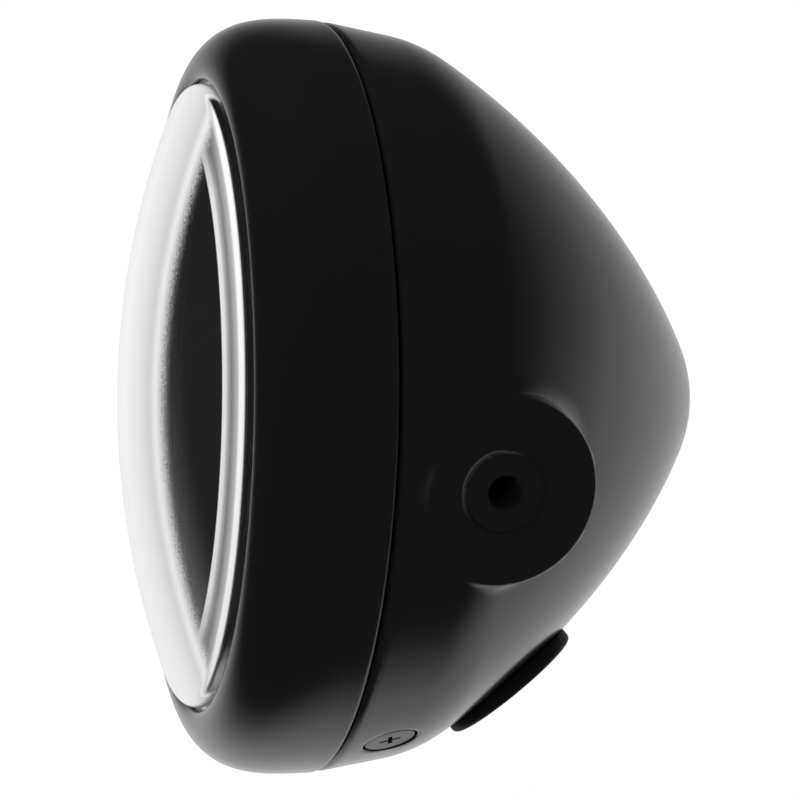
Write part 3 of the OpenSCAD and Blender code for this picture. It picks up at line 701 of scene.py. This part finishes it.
# Fixing screws: countersunk, with a pressed cross
screw = {
    "top": -0.35, "flatRadius": 5.25, "rimDepth": 0.35, "rimFrom": 75.0, "rimSteps": 5, "neckDepth": 2.9,
    "neckLength": 1.0, "threadRadius": 3.0, "threadDepth": 0.5, "threadRise": 0.3, "pitch": 1.0,
    "length": 13.0, "point": 0.6, "crossWidth": 0.9, "crossLength": 4.7, "crossDepth": 1.6,
    "crossTurn": 13.0, "steps": 96, "snap": 0.001, "flatNormal": 0.9,
}


# Cuts the outline of the cross into the flat of the head and sinks the faces inside it
def pressCross(bm):
    turn = Matrix.Rotation(math.radians(screw["crossTurn"]), 4, "Z")
    arms = (turn @ Vector((1, 0, 0)), turn @ Vector((0, 1, 0)))
    halves = (screw["crossWidth"] / 2, screw["crossLength"] / 2)
    for arm in arms:
        for offset in (-halves[1], -halves[0], halves[0], halves[1]):
            top = [f for f in bm.faces if f.normal.z > screw["flatNormal"]]
            edges = {e for f in top for e in f.edges}
            verts = {v for f in top for v in f.verts}
            bmesh.ops.bisect_plane(bm, geom=top + list(edges) + list(verts), dist=screw["snap"] * mm,
                                   plane_co=arm * offset * mm, plane_no=arm)
    inside = []
    for face in bm.faces:
        centre = face.calc_center_median() / mm
        reach = sorted(abs(centre.dot(arm)) for arm in arms)
        if face.normal.z > screw["flatNormal"] and reach[0] < halves[0] and reach[1] < halves[1]:
            inside.append(face)
    sunk = bmesh.ops.extrude_face_region(bm, geom=inside)["geom"]
    verts = [g for g in sunk if isinstance(g, bmesh.types.BMVert)]
    bmesh.ops.delete(bm, geom=inside, context="FACES")
    bmesh.ops.translate(bm, verts=verts, vec=(0, 0, -screw["crossDepth"] * mm))


neck = screw["top"] - screw["neckDepth"]
threadTop = neck - screw["neckLength"]
end = screw["top"] - screw["length"]
headCentre = Vector((screw["flatRadius"], screw["top"] - screw["rimDepth"]))
screwSection = [Vector((0, screw["top"])), Vector((screw["flatRadius"], screw["top"]))]
screwSection += arc(headCentre, screw["rimDepth"], screw["rimFrom"], 0, screw["rimSteps"])
screwSection += [Vector((screw["threadRadius"], neck)), Vector((screw["threadRadius"], threadTop))]
for i in range(int((threadTop - end - screw["point"]) / screw["pitch"])):
    crest = threadTop - (i + 0.5) * screw["pitch"]
    screwSection += [Vector((screw["threadRadius"] - screw["threadDepth"], crest + screw["threadRise"])),
                     Vector((screw["threadRadius"], crest))]
screwSection += [Vector((screw["threadRadius"] - screw["point"], end + screw["point"])),
                 Vector((screw["threadRadius"] - 2 * screw["point"], end)), Vector((0, end))]
for side, sideName in ((-1, "left"), (1, "right")):
    bm = sectionMesh(screwSection, screw["steps"], False)
    bm.transform(quarterTurn)
    pointOutwards(bm, up * screw["top"], up)
    pressCross(bm)
    moveTo(bm, screwPlace(side))
    sharpenEdges(bm)
    finishPiece(bm, "fixingScrew" + sideName.capitalize(), blackSteel,
                ["fixing_screw_" + sideName])
print("screws made")

# Threaded inserts, welded into the bosses from behind and painted over with the shell
insert = {
    "radius": 8.0, "top": -0.02, "edge": 0.1, "shoulder": -1.6, "flangeRadius": 13.0, "flangeDepth": 3.0,
    "bodyRadius": 9.0, "length": 14.0, "bore": 3.4, "thread": 0.55, "threadRise": 0.3, "entry": 0.4,
    "pitch": 1.25, "steps": 96,
}
flangeEnd = insert["shoulder"] - insert["flangeDepth"]
insertSection = [Vector((insert["bore"] + insert["entry"], insert["top"])),
                 Vector((insert["radius"] - insert["edge"], insert["top"])),
                 Vector((insert["radius"], insert["top"] - insert["edge"])),
                 Vector((insert["radius"], insert["shoulder"])),
                 Vector((insert["flangeRadius"], insert["shoulder"])),
                 Vector((insert["flangeRadius"], flangeEnd)),
                 Vector((insert["bodyRadius"], flangeEnd)),
                 Vector((insert["bodyRadius"], -insert["length"])),
                 Vector((insert["bore"], -insert["length"]))]
for i in range(int(insert["length"] / insert["pitch"]) - 1, 0, -1):
    insertSection += [Vector((insert["bore"], -(i + insert["threadRise"]) * insert["pitch"])),
                      Vector((insert["bore"] + insert["thread"], -i * insert["pitch"]))]
insertSection += [Vector((insert["bore"], insert["top"] - insert["entry"]))]
for side, sideName in ((-1, "left"), (1, "right")):
    bm = sectionMesh(insertSection, insert["steps"], True)
    bm.transform(quarterTurn)
    pointOutwards(bm, Vector(((insert["bore"] + insert["radius"]) / 2, 0, insert["top"])), up)
    moveTo(bm, bossPlace(side))
    sharpenEdges(bm)
    finishPiece(bm, "mountInsert" + sideName.capitalize(), enamel,
                ["mount_insert_" + sideName])
print("inserts made")

# CAD nodes that keep their shape get their finish
nodeFinish = {
    "ring_bracket_left": zinc, "ring_bracket_right": zinc, "top_hook": zinc,
    "captive_nut_left": zinc, "captive_nut_right": zinc,
    "lens_gasket": rubber, "lens_sealant": butyl,
    "spring_clip_upper_left": springSteel, "spring_clip_upper_right": springSteel,
    "spring_clip_lower_left": springSteel, "spring_clip_lower_right": springSteel,
    "bulb_collar": zinc, "bulb_base": zinc, "bulb_glass": quartz, "bulb_filaments": springSteel,
    "bulb_contacts": brass, "bulb_retaining_spring": springSteel, "rubber_boot": rubber,
    "parking_bulb_holder": plastic, "parking_bulb": quartz,
}
for name, material in nodeFinish.items():
    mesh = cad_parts[name].data
    mesh.materials.clear()
    mesh.materials.append(material)
print("finishes assigned")

# Camera: the photograph shows the lamp turned a little about its own axis, so the camera leans instead
view = {
    "lean": 13.0, "yaw": 15.986, "rise": -0.2, "roll": 0.354, "distance": 467.5, "aim": (0, -3.05, 0),
    "lens": 90.3, "shiftY": -0.0037, "clipStart": 0.01,
}
lean, yaw, rise, roll = (math.radians(view[k]) for k in ("lean", "yaw", "rise", "roll"))
sideways = Vector((math.cos(lean), 0, math.sin(lean)))
upwards = Vector((-math.sin(lean), 0, math.cos(lean)))
level = math.cos(yaw) * sideways - math.sin(yaw) * Vector((0, 1, 0))
toCamera = math.cos(rise) * level + math.sin(rise) * upwards
right = (-toCamera).cross(upwards).normalized()
upright = right.cross(-toCamera)
cameraX = math.cos(roll) * right + math.sin(roll) * upright
cameraY = math.cos(roll) * upright - math.sin(roll) * right
camera = bpy.data.objects.new("camera", bpy.data.cameras.new("camera"))
bpy.context.scene.collection.objects.link(camera)
camera.matrix_world = Matrix.Translation((Vector(view["aim"]) + view["distance"] * toCamera) * mm) @ Matrix(
    (cameraX, cameraY, toCamera)).transposed().to_4x4()
camera.data.lens = view["lens"]
camera.data.shift_y = view["shiftY"]
camera.data.clip_start = view["clipStart"]
bpy.context.scene.camera = camera

# Studio: white behind, below and to the right of the lamp, dark on the camera's side and dimmer
# overhead, as in a product shot of black paint on a white sweep. The floor is measured in metres
studio = {
    "floorZ": -0.3, "floorRadius": 3.0, "floorSides": 64, "dark": 0.02, "white": 0.82, "darkTo": -0.34,
    "whiteFrom": -0.8, "tiltAcross": -0.31, "tiltUp": 0.31, "dimFrom": 0.0, "dimTo": 0.63, "dimmed": 0.3,
    "fill": 0.85, "shadowNear": 0.2, "shadowFar": 0.7, "shadowShown": 0.4,
}
sweepAxis = toCamera + studio["tiltAcross"] * cameraX + studio["tiltUp"] * cameraY
bpy.context.scene.view_settings.view_transform = "Standard"
world = bpy.data.worlds.new("studio")
bpy.context.scene.world = world
world.use_nodes = True
tree = world.node_tree
tree.nodes.clear()
direction = addNode(tree, "ShaderNodeTexCoord").outputs["Generated"]
backwards = addNode(tree, "ShaderNodeVectorMath", {"operation": "DOT_PRODUCT", 1: tuple(sweepAxis)},
                    {0: direction})
overhead = addNode(tree, "ShaderNodeVectorMath", {"operation": "DOT_PRODUCT", 1: tuple(cameraY)},
                   {0: direction})
sweep = addNode(tree, "ShaderNodeMapRange", {
    "interpolation_type": "SMOOTHSTEP", "From Min": studio["darkTo"], "From Max": studio["whiteFrom"],
    "To Min": 0.0, "To Max": 1.0}, {"Value": backwards.outputs["Value"]})
dimming = addNode(tree, "ShaderNodeMapRange", {
    "interpolation_type": "SMOOTHSTEP", "From Min": studio["dimFrom"], "From Max": studio["dimTo"],
    "To Min": 1.0, "To Max": studio["dimmed"]}, {"Value": overhead.outputs["Value"]})
lit = addNode(tree, "ShaderNodeMath", {"operation": "MULTIPLY"},
              {0: sweep.outputs[0], 1: dimming.outputs[0]})
tent = addNode(tree, "ShaderNodeMapRange", {"To Min": studio["dark"], "To Max": studio["white"]},
               {"Value": lit.outputs[0]})
path = addNode(tree, "ShaderNodeLightPath")
matte = addNode(tree, "ShaderNodeMix", {"data_type": "FLOAT", 3: studio["fill"]},
                {0: path.outputs["Is Diffuse Ray"], 2: tent.outputs[0]})
seen = addNode(tree, "ShaderNodeMix", {"data_type": "FLOAT", 3: 1.0},
               {0: path.outputs["Is Camera Ray"], 2: matte.outputs[0]})
background = addNode(tree, "ShaderNodeBackground", {"Color": grey(1)}, {"Strength": seen.outputs[0]})
addNode(tree, "ShaderNodeOutputWorld", None, {"Surface": background.outputs[0]})

# Floor: pure white to the camera, apart from the shadow close to the lamp, and clear to reflections,
# which see the studio instead
floorMaterial, tree, surface, place = newMaterial("paleFloor", {
    "Base Color": linear("#f4f4f4"), "Roughness": 0.8})
grainBump(tree, surface, place, grain=8.0, depth=0.1, strength=0.05)
path = addNode(tree, "ShaderNodeLightPath")
far = addNode(tree, "ShaderNodeVectorMath", {"operation": "LENGTH"}, {0: place})
whiteness = addNode(tree, "ShaderNodeMapRange", {
    "interpolation_type": "SMOOTHSTEP", "From Min": studio["shadowNear"], "From Max": studio["shadowFar"],
    "To Min": 1 - studio["shadowShown"], "To Max": 1.0}, {"Value": far.outputs["Value"]})
shown = addNode(tree, "ShaderNodeMath", {"operation": "MULTIPLY"},
                {0: path.outputs["Is Camera Ray"], 1: whiteness.outputs[0]})
white = addNode(tree, "ShaderNodeEmission", {"Color": grey(1), "Strength": 1.0})
paper = addNode(tree, "ShaderNodeMixShader", None,
                {0: shown.outputs[0], 1: surface.outputs[0], 2: white.outputs[0]})
clear = addNode(tree, "ShaderNodeBsdfTransparent")
reflected = addNode(tree, "ShaderNodeMath", {"operation": "MAXIMUM"},
                    {0: path.outputs["Is Glossy Ray"], 1: path.outputs["Is Transmission Ray"]})
both = addNode(tree, "ShaderNodeMixShader", None,
               {0: reflected.outputs[0], 1: paper.outputs[0], 2: clear.outputs[0]})
tree.links.new(both.outputs[0], tree.nodes["Material Output"].inputs["Surface"])
bm = bmesh.new()
bmesh.ops.create_circle(bm, cap_ends=True, segments=studio["floorSides"], radius=studio["floorRadius"])
bmesh.ops.translate(bm, verts=bm.verts[:], vec=(0, 0, studio["floorZ"]))
floorMesh = bpy.data.meshes.new("floor")
bm.to_mesh(floorMesh)
bm.free()
floorMesh.materials.append(floorMaterial)
floor = bpy.data.objects.new("floor", floorMesh)
bpy.context.scene.collection.objects.link(floor)

# A soft panel that fills the matt pieces and casts the shadow, out of the paint's reflections
panel = {"at": (-0.25, -0.3, 0.8), "size": 0.9, "power": 5.0}
light = bpy.data.lights.new("softPanel", "AREA")
light.size = panel["size"]
light.energy = panel["power"]
holder = bpy.data.objects.new("softPanel", light)
holder.location = panel["at"]
holder.rotation_euler = (-Vector(panel["at"])).to_track_quat("-Z", "Y").to_euler()
holder.visible_glossy = False
holder.visible_transmission = False
bpy.context.scene.collection.objects.link(holder)
print("studio made")
